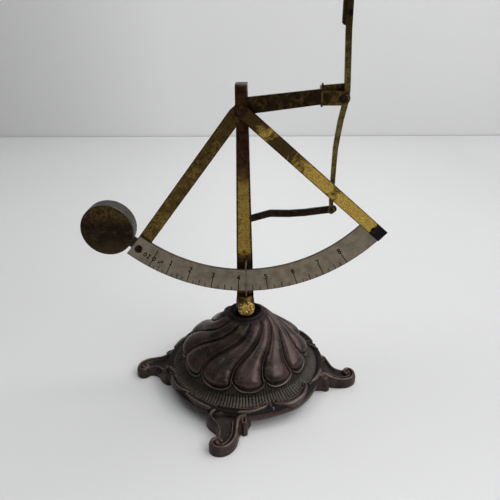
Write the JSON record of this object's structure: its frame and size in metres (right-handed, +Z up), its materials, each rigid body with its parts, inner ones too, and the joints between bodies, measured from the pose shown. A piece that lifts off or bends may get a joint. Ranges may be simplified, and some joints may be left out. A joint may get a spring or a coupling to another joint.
{
  "type": "quadrant letter scale",
  "caption": "Antique brass quadrant letter scale: graduated arc with disc counterweight, linked pan rod and letter tray on a swirled cast base with scroll feet.",
  "frame": {"origin": "on the floor, at the middle of the object's extent, straight below the main pivot", "axes": "+Z up, the height and longest extent; -Y is the front where the graduations are read; +X towards the tray side; Y is the shortest extent"},
  "size_m": [0.1598, 0.122, 0.2018],
  "materials": {
    "bronzed_iron": "satin, dark brown bronze patina with worn golden high spots",
    "column_brass": "satin, tarnished, brighter in the middle of the shaft",
    "spoke_brass": "satin, mottled with brown and black spots",
    "beam_brass": "satin, brown mottled tarnish",
    "rod_brass": "satin, dull yellow with dark edges",
    "stay_brass": "satin, almost black tarnish",
    "boss_brass": "bright granulated",
    "arc_steel": "satin grey plate with black filled graduations",
    "weight_bronze": "satin, dark brown scratched patina, greenish rim",
    "tray_brass": "satin, lightly tarnished",
    "dark_steel": "blued dark steel",
    "wire_steel": "grey drawn wire"
  },
  "bodies": {
    "stand": {"base_casting": "bronzed_iron", "column_washer": "dark_steel", "column_nut": "dark_steel", "column": "column_brass", "foot_boss": "boss_brass", "index_wire": "wire_steel", "pivot_pin": "dark_steel", "stay_screw": "dark_steel"},
    "quadrant": {"left_spoke": "spoke_brass", "right_spoke": "spoke_brass", "arc_plate": "arc_steel", "arc_screw": "dark_steel", "arc_nut": "dark_steel", "arc_rivet": "dark_steel", "hub_bush": "spoke_brass", "hub_spacer": "spoke_brass", "counterweight": "weight_bronze", "counterweight_arm": "weight_bronze", "beam_arm": "beam_brass", "yoke": "beam_brass", "yoke_rivet": "beam_brass", "yoke_pin": "dark_steel", "yoke_spacer": "beam_brass"},
    "rod": {"pan_rod": "rod_brass", "tray_bracket": "rod_brass", "bracket_rivet_low": "dark_steel", "bracket_rivet_high": "dark_steel", "letter_tray": "tray_brass", "tray_rivets": "tray_brass", "rod_pin": "dark_steel"},
    "stay": {"stay_link": "stay_brass"}
  },
  "joints": [
    {"name": "quadrant_swing", "type": "hinge", "parent": "stand", "child": "quadrant", "pos_m": [0, 0, 0.1499], "axis": [0, 1, 0], "range_deg": [-33.2, 34]},
    {"name": "rod_hinge", "type": "hinge", "parent": "quadrant", "child": "rod", "pos_m": [0.0461, 0, 0.1543], "axis": [0, 1, 0], "range_deg": [-34.5, 33.7]},
    {"name": "stay_hinge", "type": "hinge", "parent": "stand", "child": "stay", "pos_m": [-0.002, 0, 0.0958], "axis": [0, 1, 0], "range_deg": [-33.7, 34.5]}
  ],
  "couplings": [
    {"joint": "rod_hinge", "follows": "quadrant_swing", "ratio": -1},
    {"joint": "stay_hinge", "follows": "quadrant_swing", "ratio": 1}
  ]
}
